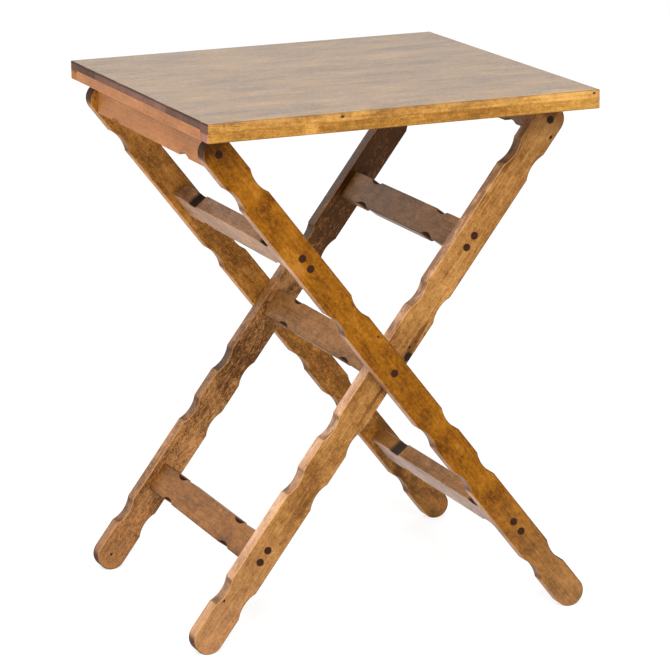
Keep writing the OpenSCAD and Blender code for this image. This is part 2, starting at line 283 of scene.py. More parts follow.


# ---- Shader maths ----

# How strongly each part of the wood's look shows, before a finish changes it. tone is the middle
# of the stain's range, and the strengths down to rippled scale the noises named in STRENGTHS.
# cloud is a stain cloud's length and width in millimetres. ended scales the end grain, grimy the
# darkening in the hollows, partly dirt and partly painted shade, and sooty its blackness. shade_lined_arris
# and highlight_lined_arris scale a painted shade line on the low arrises and a painted highlight line on the
# high ones. edge gives the pale and deep tones of a board's sides; on the legs and the lower outer
# rail their difference from the flats is painted light. foot is the colour of a paler foot, painted
# light bounced up from the floor.
PLAIN_LOOK = {
    "tone": 0.52,
    "patchy": 1.1,
    "cloudy": 1.2,
    "cloud": (20, 14),
    "mottled": 0.8,
    "specky": 1.2,
    "streaky": 0.5,
    "fibrous": 0.8,
    "ringed": 0.1,
    "rippled": 0.0,
    "ended": 1.0,
    "smudged": 0.0,
    "hollow_dirt_and_shade": 0.75,
    "black_dirt_and_shade": 0.0,
    "shade_lined_arris": 0.75,
    "highlight_lined_arris": 0.3,
    "rough": 0.42,
    "gloss": 0.13,
    "edge": None,
    "foot": (0.24, 0.117, 0.041),
}

# The noise that each strength of a look scales.
STRENGTHS = {
    "patchy": "broad",
    "cloudy": "clouds",
    "mottled": "mottle",
    "specky": "specks",
    "streaky": "streaks",
    "fibrous": "fibres",
    "ringed": "growth",
    "rippled": "ripple",
}

# Noises of the figure: lengths along, across and through the grain in millimetres, detail,
# roughness, shift and twist.
FIGURE = {
    "broad": ((90, 40, 40), 2, 0.55, 0.0, 0.0),
    "mottle": ((6, 4.5, 4.5), 3, 0.6, 1.9, 0.0),
    "specks": ((2.6, 1.3, 1.3), 2, 0.7, 7.7, 0.0),
    "streaks": ((55, 2.4, 2.4), 3, 0.6, 5.7, 0.0),
    "fibres": ((14, 0.8, 0.8), 3, 0.65, 9.2, 0.0),
    "pores": ((3.2, 0.55, 0.55), 1, 0.5, 12.4, 0.0),
    "ripple": ((17, 2.4, 2.4), 3, 0.62, 6.4, 3.4),
}
PITH = (0, 26 * MM, 34 * MM)            # where the growth rings' middle lies beside a board
RING_GAP = 3.4 * MM
WAVE_OF_A_METRE = 0.31416               # scale at which a wave texture repeats every metre
SMUDGE_SIZE = (42 * MM, 20 * MM, 20 * MM)
SMUDGE_COLOUR = (0.10, 0.058, 0.050)
FLOOR_BOUNCE_LENGTH = 220 * MM                  # how far up its leg the paler foot, painted floor bounce light, fades out
RAGGED_LENGTH = 60 * MM                 # how far the paler foot's edge wanders along the leg
RIM_DEPTHS = (1.2 * MM, 3.6 * MM)       # where the end grain's dark rim starts to fade, and ends
KNOT_LENGTH = 1.5                       # a knot's length in widths


class Wire:
    """A socket of a node tree, so that shader maths reads as an expression."""

    def __init__(self, tree, socket=None):
        self.tree = tree
        self.socket = socket

    def add(self, kind, sockets, output=0, stops=None, **settings):
        """Adds a node: first its settings, then the values or the links of its sockets."""
        node = self.tree.nodes.new("ShaderNode" + kind)
        for name, value in settings.items():
            setattr(node, name, value)
        if stops:
            ramp = node.color_ramp
            while len(ramp.elements) < len(stops):
                ramp.elements.new(0.5)
            for element, (position, colour) in zip(ramp.elements, stops):
                element.position = position
                element.color = (*colour, 1)
        for name, value in sockets.items():
            if isinstance(value, Wire):
                self.tree.links.new(value.socket, node.inputs[name])
            else:
                node.inputs[name].default_value = value
        return Wire(self.tree, node.outputs[output]) if len(node.outputs) else None

    def maths(self, operation, first, second=0.0, clamp=False):
        return self.add("Math", {0: first, 1: second}, operation=operation, use_clamp=clamp)

    def __add__(self, other):
        return self.maths("ADD", self, other)

    def __sub__(self, other):
        return self.maths("SUBTRACT", self, other)

    def __rsub__(self, other):
        return self.maths("SUBTRACT", other, self)

    def __mul__(self, other):
        return self.maths("MULTIPLY", self, other)

    __radd__ = __add__
    __rmul__ = __mul__


def clamped(wire):
    return wire.maths("ADD", wire, 0.0, clamp=True)


def blended(tree, factor, below, above):
    """The colour below, mixed towards the colour above by the factor."""
    below = (*below, 1) if isinstance(below, tuple) else below
    above = (*above, 1) if isinstance(above, tuple) else above
    sockets = {0: factor, 6: below, 7: above}
    return tree.add("Mix", sockets, output=2, data_type="RGBA")


def stretched_noise(tree, where, size, detail=3.0, rough=0.55, shift=0.0, twist=0.0):
    """Noise whose features are about size metres along, across and through the board, made
    wavy by the twist."""
    scaled = tree.add("Mapping", {
        "Vector": where,
        "Location": (shift, shift, shift),
        "Scale": tuple(1 / s for s in size),
    })
    sockets = {"Vector": scaled, "Scale": 1.0, "Detail": detail, "Roughness": rough, "Distortion": twist}
    return tree.add("TexNoise", sockets)


def ramped(tree, value, low, high):
    """0 at low and 1 at high, smoothly."""
    return tree.add("MapRange", {0: value, 1: low, 2: high, 3: 0.0, 4: 1.0}, interpolation_type="SMOOTHSTEP")


def new_material(name):
    material = bpy.data.materials.new(name)
    material.use_nodes = True
    tree = material.node_tree
    tree.nodes.clear()
    return material, Wire(tree)


def finish_material(tree, colour, roughness, height, bump, metallic=0.0, gloss=0.5):
    """Joins colour, roughness and bump to the shader. bump is (strength, distance)."""
    normal = tree.add("Bump", {"Height": height, "Strength": bump[0], "Distance": bump[1]})
    shader = tree.add("BsdfPrincipled", {
        "Base Color": colour,
        "Roughness": roughness,
        "Normal": normal,
        "Metallic": metallic,
        "Specular IOR Level": gloss,
    })
    tree.add("OutputMaterial", {"Surface": shader})


def shade_of(colour, share):
    """A darker shade of the colour for a share below 1, a paler one for a share above 1."""
    return tuple(share * channel for channel in colour)


def away_from(tree, board, place, reach):
    """Distance from a place on the board, in shares of the reach along, across and through it. A
    reach of 0 leaves that direction out."""
    share = tuple(1 / length if length else 0 for length in reach)
    scaled = tree.add("Mapping", {"Vector": board, "Scale": share})
    middle = tuple(p * f for p, f in zip(place, share))
    return tree.add("VectorMath", {0: scaled, 1: middle}, output="Value", operation="DISTANCE")


def attribute_layers(tree):
    """The layers that eased_board puts on its points."""
    vectors = {key: tree.add("Attribute", {}, output="Vector", attribute_name=key)
               for key in ("grain", "board")}
    values = {key: tree.add("Attribute", {}, output="Fac", attribute_name=key)
              for key in ("side", "endgrain", "hollow", "shade_lined_arris", "highlight_lined_arris")}
    return {**vectors, **values}


def plain_layers(tree):
    """The same layers for a drawn part whose grain runs along Y: all flat, no arris."""
    x, y, z = (tree.add("SeparateXYZ", {"Vector": tree.add("TexCoord", {}, output="Object")}, output=axis)
               for axis in "XYZ")
    turned = tree.add("CombineXYZ", {"X": y, "Y": x, "Z": z})
    return {"grain": turned, "board": turned, "side": 0.0, "endgrain": 0.0, "hollow": 0.0,
            "shade_lined_arris": 0.0, "highlight_lined_arris": 0.0}


def toned(tree, tone, pale, deep):
    """The colour of each tone, from the deep end of a stain to its pale end."""
    middle = tuple(p * 0.5 + d * 0.5 for p, d in zip(pale, deep))
    palest = tuple(1.15 * channel + 0.014 for channel in pale)
    stops = [(0.0, shade_of(deep, 0.62)), (0.28, deep), (0.54, middle), (0.84, pale), (1.0, palest)]
    return tree.add("ValToRGB", {"Fac": clamped(tone)}, stops=stops)


def wood_figure(tree, grain, board, look):
    """The noises of the wood's figure by name, each about a half on average: those of FIGURE, the
    clouds of stain, and the growth rings that circle a pith beside the board."""
    figure = {name: stretched_noise(tree, grain, tuple(size * MM for size in sizes), *settings)
              for name, (sizes, *settings) in FIGURE.items()}
    long_cloud, wide_cloud = look["cloud"]
    cloud = (long_cloud * MM, wide_cloud * MM, wide_cloud * MM)
    figure["clouds"] = stretched_noise(tree, grain, cloud, 3, 0.55, 3.1)
    pith = tree.add("Mapping", {"Vector": board, "Location": PITH, "Scale": (0.05, 1, 1)})
    figure["growth"] = tree.add("TexWave", {
        "Vector": pith,
        "Scale": WAVE_OF_A_METRE / RING_GAP,
        "Distortion": 3.0,
        "Detail": 3.0,
        "Detail Scale": 0.35,
        "Detail Roughness": 0.6,
    }, output="Fac", wave_type="RINGS", rings_direction="X", wave_profile="SAW")
    return figure


def wood_tone(tree, figure, board, look, patches, joints):
    """How pale the wood is at each point, about 0 to 1: the sum of the figure's noises by their
    strengths, changed beyond each joint and around the middle of each patch."""
    tone = look["tone"]
    for strength, noise in STRENGTHS.items():
        if look[strength]:
            tone = tone + (figure[noise] - 0.5) * look[strength]
    along_board = tree.add("SeparateXYZ", {"Vector": board}, output="X")
    for joint, change in joints:
        tone = tone + tree.maths("GREATER_THAN", along_board, joint) * change
    for along, across, length, width, change in patches:
        near = away_from(tree, board, (along, across, 0), (length, width, 0))
        near = near + (figure["clouds"] - 0.5) * 1.1
        tone = tone + (1 - ramped(tree, near, 0.45, 1.1)) * change
    return tone


def wood_surface(tree, figure, tone, pits, layer, look, foot):
    """The colour of the flats and sides: the stain's tone, the flats and sides in their own tones,
    whose difference on the legs and the lower outer rail is painted light, dark pores, smudges
    and a paler foot, painted light bounced up from the floor.
    """
    pale, deep = look["pale"], look["deep"]
    colour = toned(tree, tone, pale, deep)
    # The sides in their own tones. On the legs the paler, pinker side tones are painted light from the left.
    if look["edge"]:
        colour = blended(tree, layer["side"], colour, toned(tree, tone, *look["edge"]))
    colour = blended(tree, pits * 0.3, colour, shade_of(deep, 0.4))
    if look["smudged"]:
        smudges = stretched_noise(tree, layer["board"], SMUDGE_SIZE, 4, 0.6, 15.0)
        smear = ramped(tree, smudges + (figure["specks"] - 0.5) * 0.12, 0.56, 0.74)
        colour = blended(tree, smear * look["smudged"], colour, SMUDGE_COLOUR)
    if foot is not None:
        # Painted light: the foot paler and pinker, as if lit by light bounced up from the white floor.
        along_board = tree.add("SeparateXYZ", {"Vector": layer["board"]}, output="X")
        ragged = along_board + (figure["clouds"] - 0.5) * RAGGED_LENGTH
        floor_bounce_share = 1 - ramped(tree, ragged, foot, foot + FLOOR_BOUNCE_LENGTH)
        floor_bounce_colour = blended(tree, clamped(tone), shade_of(look["foot"], 0.45), shade_of(look["foot"], 1.5))
        colour = blended(tree, floor_bounce_share * 0.9, colour, floor_bounce_colour)
    return colour


def wood_ends(tree, figure, ended, colour, depth, look):
    """Lays end grain over the colour, darkest in a rim under the top face: stain pooled at the
    edge and painted shade under the arris.
    """
    end = look["end"]
    end_tone = 0.5 + (figure["growth"] - 0.5) * 0.6 + (figure["fibres"] - 0.5) * 1.2
    end_tone = clamped(end_tone + (figure["broad"] - 0.5) * 1.4 + (figure["mottle"] - 0.5))
    end_colour = blended(tree, end_tone, shade_of(end, 0.6), shade_of(end, 1.4))
    colour = blended(tree, ended * 0.95, colour, end_colour)
    # Partly stain pooled at the edge, partly painted shade under the top arris.
    under_top = depth + (figure["mottle"] - 0.5) * (2 * MM)
    rim = ended * (1 - ramped(tree, under_top, *RIM_DEPTHS))
    return blended(tree, rim * 0.75, colour, shade_of(end, 0.25))


def dirt_shade_and_highlights(tree, figure, ended, colour, layer, look):
    """Lays darkening in the hollows, partly dirt and partly painted shade, a painted shade line on the
    low arrises and a painted highlight line on the high.
    """
    pale, deep = look["pale"], look["deep"]
    # Partly dirt, partly painted shade: the scallop hollows darken, towards black as the look's blackness rises.
    dirt_shade_mask = ramped(tree, figure["clouds"] + (figure["broad"] - 0.5) * 0.6, 0.34, 0.6)
    dirt_shade_mask = layer["hollow"] * clamped(dirt_shade_mask + look["black_dirt_and_shade"])
    colour = blended(tree, dirt_shade_mask * look["hollow_dirt_and_shade"], colour, shade_of(deep, 0.28 - 0.18 * look["black_dirt_and_shade"]))
    # Painted shade: a dark line along the low arrises, darker still on the end arrises.
    broken = (figure["fibres"] - 0.5) * 0.9 + (figure["mottle"] - 0.5) * 0.9
    painted_shade_line = layer["shade_lined_arris"] * (look["shade_lined_arris"] + broken)
    painted_shade_line = clamped(painted_shade_line + ended * layer["shade_lined_arris"] * 0.4)
    colour = blended(tree, painted_shade_line, colour, shade_of(deep, 0.22))
    # Painted highlight: a pale line along the high arrises.
    painted_highlight_line = clamped(layer["highlight_lined_arris"] * (look["highlight_lined_arris"] + broken))
    return blended(tree, painted_highlight_line, colour, shade_of(pale, 1.5))


def wood_marks(tree, figure, board, colour, deep, knots, plugs):
    """Lays knots, each a dark spot in a brown halo, and the dark rims of plug holes: stain in the
    gap, deepened by painted shade of a recess.
    """
    for along, across, depth, radius in knots:
        reach = (radius * KNOT_LENGTH, radius, radius if depth else 0)
        near = away_from(tree, board, (along, across, depth), reach)
        near = near + (figure["mottle"] - 0.5) * 1.2
        halo = 1 - ramped(tree, near, 0.7, 2.2)
        colour = blended(tree, halo * 0.45, colour, shade_of(deep, 0.5))
        spot = 1 - ramped(tree, near, 0.85, 1.25)
        colour = blended(tree, spot, colour, shade_of(deep, 0.08))
    # Partly stain in the gap round each plug, partly painted shade of a recess ring.
    for along, across in plugs:
        near = away_from(tree, board, (along, across, 0), (PLUG_R, PLUG_R, 0))
        rim = 1 - ramped(tree, near, 1.0, 1.15)
        colour = blended(tree, rim * 0.55, colour, shade_of(deep, 0.25))
    return colour


def stained_wood(name, stain, knots=(), plugs=(), patches=(), joints=(), foot=None,
                 layers=attribute_layers):
    """Stained and lacquered wood, solid through the board. A knot is (along, across, deep,
    radius), a plug's hole (along, across), a patch (along, across, length, width, tone), a
    joint (along, tone beyond it), and foot is how far along the paler end, painted floor
    bounce light, lies. A knot with deep 0 runs through the board."""
    look = {**PLAIN_LOOK, **stain}
    material, tree = new_material(name)
    layer = layers(tree)
    board = layer["board"]
    figure = wood_figure(tree, layer["grain"], board, look)
    tone = wood_tone(tree, figure, board, look, patches, joints)
    pits = 1 - ramped(tree, figure["pores"], 0.30, 0.42)
    depth = tree.add("SeparateXYZ", {"Vector": board}, output="Z")
    ended = ramped(tree, layer["endgrain"] + (figure["mottle"] - 0.5) * 0.15, 0.16, 0.62) * look["ended"]

    colour = wood_surface(tree, figure, tone, pits, layer, look, foot)
    colour = wood_ends(tree, figure, ended, colour, depth, look)
    colour = dirt_shade_and_highlights(tree, figure, ended, colour, layer, look)
    colour = wood_marks(tree, figure, board, colour, look["deep"], knots, plugs)

    height = figure["fibres"] * 0.5 + figure["streaks"] * 0.3 + figure["mottle"] * 0.4
    height = height + figure["specks"] * 0.25 - pits * 0.5
    rough = look["rough"] + (figure["clouds"] - 0.5) * 0.16 + (figure["fibres"] - 0.5) * 0.14
    rough = rough + ended * 0.5 + layer["shade_lined_arris"] * 0.4 + layer["hollow"] * (0.5 * look["black_dirt_and_shade"])
    finish_material(tree, colour, clamped(rough), height, (0.4, 0.3 * MM), gloss=look["gloss"])
    return material


def dark_plug(name):
    """Dark stained end grain: speckled, a little paler in the middle of each plug."""
    material, tree = new_material(name)
    grain = tree.add("Attribute", {}, output="Vector", attribute_name="grain")
    rim = tree.add("Attribute", {}, output="Fac", attribute_name="rim")
    speckle = stretched_noise(tree, grain, (0.7 * MM, 0.7 * MM, 3 * MM), 3)
    clouds = stretched_noise(tree, grain, (3 * MM, 3 * MM, 3 * MM), 2, 0.5, 4.0)
    tone = clamped(0.45 + (speckle - 0.5) * 1.3 + (clouds - 0.5) * 1.2)
    colour = blended(tree, tone, (0.013, 0.004, 0.002), (0.050, 0.015, 0.006))
    colour = blended(tree, ramped(tree, rim, 0.75, 0.98) * 0.7, colour, (0.012, 0.005, 0.004))
    finish_material(tree, colour, clamped(0.45 + (speckle - 0.5) * 0.3), speckle, (0.4, 0.15 * MM), gloss=0.1)
    return material


def bare_wood(name):
    """Unstained dowel wood, streaked along the dowel."""
    material, tree = new_material(name)
    where = tree.add("TexCoord", {}, output="Object")
    streaks = stretched_noise(tree, where, (1.2 * MM, 14 * MM, 1.2 * MM), 3)
    colour = blended(tree, clamped(0.5 + (streaks - 0.5) * 2), (0.42, 0.27, 0.13), (0.66, 0.49, 0.29))
    finish_material(tree, colour, clamped(0.55 + (streaks - 0.5) * 0.2), streaks, (0.3, 0.1 * MM))
    return material


def plated_steel(name, tone, scratch_length):
    """Zinc plated steel: a bright metal, clouded and finely scratched."""
    material, tree = new_material(name)
    where = tree.add("TexCoord", {}, output="Object")
    clouds = stretched_noise(tree, where, (4 * MM, 4 * MM, 4 * MM), 3)
    scratches = stretched_noise(tree, where, (0.3 * MM, scratch_length, 0.3 * MM), 2, 0.5, 2.0)
    shade = clamped(0.5 + (clouds - 0.5) * 1.2 + (scratches - 0.5) * 0.8)
    colour = blended(tree, shade, shade_of(tone, 0.72), tone)
    rough = clamped(0.34 + (clouds - 0.5) * 0.25)
    finish_material(tree, colour, rough, scratches, (0.15, 0.05 * MM), metallic=1.0)
    return material


# ---- Placing ----

def join(piece, node, material):
    """Gives a new piece its material and its body, and hides the CAD node it stands for."""
    piece.data.materials.append(material)
    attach(piece, BODY_OF[node])
    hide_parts(node)


OUTER_UP = PIVOTS["top_tip"] - PIVOTS["scissor_fold"]
INNER_UP = PIVOTS["bar_swing"] - PIVOTS["scissor_fold"]
LEG_UP = np.linalg.norm(OUTER_UP)
OUTER_UP = OUTER_UP / LEG_UP
INNER_UP = INNER_UP / LEG_UP
LEG_WIDE = 2 * (PIVOTS["top_tip"][0] - corners("outer_leg_front")[0][0])
LEG_DOWN = (PIVOTS["scissor_fold"][2] - LEG_WIDE / 2) / OUTER_UP[2]
LEG_MIDDLE = (LEG_UP - LEG_DOWN) / 2
BACK = np.array([0, 1.0, 0])
RIGHT = np.array([1.0, 0, 0])
UP = np.array([0, 0, 1.0])


def rail_height(node, up):
    """How far a rail's middle is above the scissor pivot, along its legs."""
    low, high = corners(node)
    return float(((low + high) / 2 - PIVOTS["scissor_fold"]) @ up)


def plug_heights(frame_name, up):
    """Heights of a leg's rail plugs above the scissor pivot."""
    rails = [rail_height(frame_name + rail, up) for rail in ("_rail_upper", "_rail_lower")]
    return [rail + side * SCREW_GAP / 2 for rail in rails for side in (-1, 1)]


def leg(node, up, front_side, stain, seed, knots=(), patches=()):
    """A leg board: scalloped on both edges, with half-round ends, its outer face towards the
    table's front or rear. Knots and patches are placed in millimetres up from the scissor."""
    low, high = corners(node)
    ends = LEG_UP + LEG_DOWN + LEG_WIDE
    heights = [LEG_UP + LEG_WIDE / 2 - SCALLOP_END, SCALLOP_MID, -SCALLOP_MID, -SCALLOP_LOW,
               SCALLOP_END - LEG_DOWN - LEG_WIDE / 2]
    hollows = [height - LEG_MIDDLE for height in heights]
    shape = outline(ends, LEG_WIDE, [LEG_WIDE / 2] * 4, hollows, hollows)
    origin = PIVOTS["scissor_fold"] + up * LEG_MIDDLE
    origin[1] = low[1] if front_side else high[1]
    inwards = BACK if front_side else -BACK
    across = np.cross(up, BACK)
    piece = eased_board("leg_" + node, shape, high[1] - low[1], (origin, up, across, inwards),
                        [LEG_EASE] * 4, seed=seed)
    sunk = [0.0, LEG_UP] if node.startswith("outer") else [LEG_UP]
    sunk = sunk + plug_heights(node.split("_")[0], up)
    plugs = [(height - LEG_MIDDLE, 0) for height in sunk]
    knots = [(h * MM - LEG_MIDDLE, side * MM, 0, radius * MM) for h, side, radius in knots]
    patches = [(h * MM - LEG_MIDDLE, side * MM, length * MM, width * MM, change)
               for h, side, length, width, change in patches]
    foot = -LEG_DOWN - LEG_MIDDLE - LEG_WIDE / 2
    join(piece, node, stained_wood(node + "_stain", stain, knots, plugs, patches, foot=foot))


def rail(node, up, stain, seed):
    """A rail between two legs: its length runs front to rear, its width up the legs."""
    low, high = corners(node)
    length = high[1] - low[1]
    hollows = [end * (length / 2 - RAIL_SCALLOP_END) for end in (-1, 1)]
    shape = outline(length, RAIL_WIDE, [0] * 4, hollows, hollows, RAIL_SCALLOP_R)
    out = np.cross(BACK, up)
    origin = (low + high) / 2 - out * RAIL_THICK / 2
    ease = [RAIL_EASE, GLUE_EASE, RAIL_EASE, GLUE_EASE]
    piece = eased_board("board_" + node, shape, RAIL_THICK, (origin, BACK, up, out), ease, seed=seed)
    join(piece, node, stained_wood(node + "_stain", stain))


def hanging_bar(node, stain, seed):
    """The batten or the support bar: upright, scalloped on its lower edge."""
    low, high = corners(node)
    length, wide, thick = high[1] - low[1], high[2] - low[2], high[0] - low[0]
    hollows = [end * (length / 2 - RAIL_SCALLOP_END) for end in (-1, 1)]
    shape = outline(length, wide, [0] * 4, hollows, (), RAIL_SCALLOP_R)
    origin = (low + high) / 2 - RIGHT * thick / 2
    ease = [RAIL_EASE, GLUE_EASE * 3, RAIL_EASE, GLUE_EASE * 3]
    piece = eased_board("board_" + node, shape, thick, (origin, BACK, UP, RIGHT), ease, seed=seed)
    join(piece, node, stained_wood(node + "_stain", stain))


def flat_board(node, stain, seed, along, top, under, corner=(0, 0, 0, 0), knots=(), patches=(),
               joints=()):
    """A flat board whose grain runs along X or Y. top and under give its arris widths on the
    front, right, rear and left, or for grain along Y on the right, rear, left and front. Knots
    (along, deep, radius) and patches (along, length, tone) lie on its front face, and joints
    (along, tone) cross it, in millimetres."""
    low, high = corners(node)
    size = high - low
    across = np.cross(UP, along)
    length, width = abs(size @ along), abs(size @ across)
    shape = outline(length, width, corner)
    origin = (low + high) / 2 + UP * size[2] / 2
    piece = eased_board("board_" + node, shape, size[2], (origin, along, across, -UP), top, under, seed=seed,
                        uneven=0.12)
    knots = [(place * MM, -width / 2, depth * MM, radius * MM) for place, depth, radius in knots]
    patches = [(place * MM, -width / 2, length * MM, 10 * MM, change) for place, length, change in patches]
    joints = [(place * MM, change) for place, change in joints]
    join(piece, node, stained_wood(node + "_stain", stain, knots, patches=patches, joints=joints))


# How each finish differs from the plain look: pale and deep are the ends of the stain's range.
# The legs' paler, pinker edge tones are painted light falling on their sides from the left.
OUTER_STAIN = {"pale": (0.265, 0.098, 0.0035), "deep": (0.120, 0.037, 0.0008), "end": (0.060, 0.030, 0.024),
               "gloss": 0.08, "edge": ((0.50, 0.28, 0.17), (0.20, 0.095, 0.055)), "highlight_lined_arris": 0.6,
               "cloudy": 1.0, "mottled": 0.8, "specky": 1.0}
INNER_STAIN = {"pale": (0.37, 0.182, 0.050), "deep": (0.20, 0.080, 0.016), "end": (0.060, 0.030, 0.022),
               "streaky": 0.8, "cloudy": 0.8, "rippled": 0.3, "foot": (0.305, 0.147, 0.060),
               "edge": ((0.62, 0.38, 0.23), (0.36, 0.18, 0.09)), "highlight_lined_arris": 0.7}
OUTER_REAR_STAIN = {"pale": (0.55, 0.236, 0.045), "deep": (0.230, 0.088, 0.012), "end": (0.05, 0.026, 0.02),
                    "cloudy": 1.0, "mottled": 1.0, "foot": (0.195, 0.081, 0.018)}
INNER_REAR_STAIN = {"pale": (0.39, 0.182, 0.060), "deep": (0.105, 0.038, 0.006), "end": (0.05, 0.026, 0.02),
                    "rippled": 3.0, "cloudy": 0.8, "highlight_lined_arris": 0.6, "foot": (0.23, 0.10, 0.034)}
RAIL_STAIN = {"pale": (0.250, 0.118, 0.040), "deep": (0.125, 0.052, 0.014), "end": (0.05, 0.03, 0.02),
              "hollow_dirt_and_shade": 1.0, "black_dirt_and_shade": 1.0, "streaky": 0.7, "fibrous": 1.0, "ended": 0.0}
PALE_RAIL_STAIN = {**RAIL_STAIN, "pale": (0.42, 0.215, 0.100), "deep": (0.21, 0.100, 0.042)}
LOW_RAIL_STAIN = {**RAIL_STAIN, "pale": (0.245, 0.098, 0.020), "deep": (0.130, 0.046, 0.008), "gloss": 0.09}
WARM_RAIL_STAIN = {**RAIL_STAIN, "pale": (0.31, 0.138, 0.040), "deep": (0.165, 0.066, 0.016)}
# The lower outer rail's pale lavender flats are a painted reflection of the white surround; its sides keep a brown
# stain.
EDGED_RAIL_STAIN = {**RAIL_STAIN, "pale": (0.41, 0.265, 0.200), "deep": (0.25, 0.150, 0.105), "black_dirt_and_shade": 0.8,
                    "edge": ((0.285, 0.125, 0.032), (0.155, 0.060, 0.013))}
SLAB_STAIN = {"pale": (0.31, 0.190, 0.090), "deep": (0.170, 0.103, 0.052), "end": (0.080, 0.036, 0.026),
              "cloudy": 1.05, "cloud": (34, 17), "streaky": 1.0, "specky": 0.9, "mottled": 1.0, "patchy": 0.9,
              "gloss": 0.3, "smudged": 0.5}
EDGE_TONES = ((0.46, 0.240, 0.050), (0.27, 0.118, 0.018))
FRONT_STAIN = {"pale": EDGE_TONES[0], "deep": EDGE_TONES[1], "end": (0.33, 0.150, 0.105),
               "cloudy": 0.5, "patchy": 0.6, "streaky": 0.5, "specky": 1.1, "shade_lined_arris": 0.4}
REAR_STRIP_STAIN = {**FRONT_STAIN, "end": (0.42, 0.17, 0.06)}
FRONT_BOARD_STAIN = {**SLAB_STAIN, "pale": (0.33, 0.195, 0.080), "edge": EDGE_TONES, "shade_lined_arris": 0.35}
SIDE_STAIN = {"pale": (0.44, 0.170, 0.048), "deep": (0.29, 0.102, 0.022), "end": (0.30, 0.16, 0.11),
              "cloudy": 0.6, "streaky": 0.8, "specky": 0.5, "ended": 0.0}
BATTEN_STAIN = {"pale": (0.47, 0.180, 0.038), "deep": (0.31, 0.106, 0.019), "end": (0.30, 0.16, 0.11),
                "cloudy": 0.6, "streaky": 0.5, "specky": 0.4, "hollow_dirt_and_shade": 0.6, "ended": 0.0}
CLEAT_STAIN = {"pale": (0.30, 0.15, 0.05), "deep": (0.15, 0.065, 0.018), "end": (0.16, 0.08, 0.05)}

# Patches of a leg: (height above the scissor, across, length, width, change of tone).
OUTER_PATCHES = [
    # Painted shade under the slab's overhang at the top of the leg.
    (376, 0, 16, 26, -0.4),
    (300, 2, 24, 22, 0.15),
    (279, -7, 12, 16, -0.3),
    (240, 0, 34, 24, -0.1),
    (222, 0, 26, 18, 0.24),
    (198, 11, 30, 13, 0.38),
    (60, 0, 24, 20, 0.06),
    (-94, 0, 18, 22, 0.12),
    (-211, -3, 18, 18, -0.2),
]
INNER_PATCHES = [
    # Painted shade under the slab's overhang at the top of the leg.
    (374, 9, 15, 15, -0.9),
    (345, 0, 30, 20, 0.25),
    (296, 16, 22, 5, -0.7),
    (200, 24, 230, 7, -0.9),
    (62, -11.5, 19, 3, -0.8),
    (42, -12, 12, 4, -0.9),
    (-45, -9, 34, 3, -0.5),
    (-190, -8, 6, 3, -0.5),
    (-190, 0, 36, 20, -0.2),
]
# Darker lower half: painted shade on the lit part, evening it with the slab's shadow above.
OUTER_REAR_PATCHES = [(-200, 0, 190, 60, -0.3)]
INNER_REAR_PATCHES = [
    # Painted shadow of the slab over the upper half of the leg.
    (200, 0, 190, 60, -0.52),
    (40, 0, 60, 40, 0.3),
    (-95, 0, 40, 40, -0.25),
    (-225, 0, 50, 40, 0.15),
]

# Knots of a leg: (height above the scissor, across, radius).
OUTER_KNOTS = [(51, -12.7, 0.8)]
INNER_KNOTS = [(344, -13.5, 1.5), (27, -14.5, 4.2), (37, -9.5, 1.2), (47, -12.5, 0.9), (-341, 12, 1.1)]
INNER_REAR_KNOTS = [(-389, 2, 1.3)]

leg("outer_leg_front", OUTER_UP, True, OUTER_STAIN, 1, OUTER_KNOTS, OUTER_PATCHES)
leg("outer_leg_rear", OUTER_UP, False, OUTER_REAR_STAIN, 2, (), OUTER_REAR_PATCHES)
leg("inner_leg_front", INNER_UP, True, INNER_STAIN, 3, INNER_KNOTS, INNER_PATCHES)
leg("inner_leg_rear", INNER_UP, False, INNER_REAR_STAIN, 4, INNER_REAR_KNOTS, INNER_REAR_PATCHES)
rail("outer_rail_upper", OUTER_UP, PALE_RAIL_STAIN, 5)
rail("outer_rail_lower", OUTER_UP, EDGED_RAIL_STAIN, 6)
rail("inner_rail_upper", INNER_UP, RAIL_STAIN, 7)
rail("inner_rail_lower", INNER_UP, LOW_RAIL_STAIN, 8)
rail("middle_rail", INNER_UP, WARM_RAIL_STAIN, 9)
hanging_bar("batten", BATTEN_STAIN, 10)
hanging_bar("support_bar", RAIL_STAIN, 11)

# The slab's boards: outer arrises are rounded, glued ones keep a hairline.
BOARDS = [f"board_{number}" for number in range(1, 8)]
END_TONES = [1.5, 1.3, 2.2, 1.9, 1.6, 0.9, 1.1]   # how pale each board's end grain is
FRONT_EDGE_KNOTS = [(-83, 5, 1.3), (242, 4, 1.1)]
FRONT_EDGE_PATCHES = [(-190, 70, -0.15), (-60, 14, 0.25), (-10, 60, -0.2), (215, 60, 0.25)]
FRONT_STRIP_PATCHES = [(-190, 70, -0.15), (-124, 11, 0.2), (40, 80, -0.05), (205, 70, 0.25)]
FRONT_STRIP_JOINTS = [(-113, -0.22)]
for number, node in enumerate(BOARDS):
    first, last = node == BOARDS[0], node == BOARDS[-1]
    top = [SLAB_EASE if first else GLUE_EASE, SLAB_EASE, SLAB_EASE if last else GLUE_EASE, SLAB_EASE]
    corner = [SLAB_CORNER if first else 0, SLAB_CORNER if last else 0, SLAB_CORNER if last else 0,
              SLAB_CORNER if first else 0]
    tones = FRONT_BOARD_STAIN if first else SLAB_STAIN
    tones = {**tones, "end": shade_of(SLAB_STAIN["end"], END_TONES[number])}
    knots = FRONT_EDGE_KNOTS if first else []
    patches = FRONT_EDGE_PATCHES if first else []
    flat_board(node, tones, 20 + number, RIGHT, top, [GLUE_EASE] * 4, corner, knots, patches)

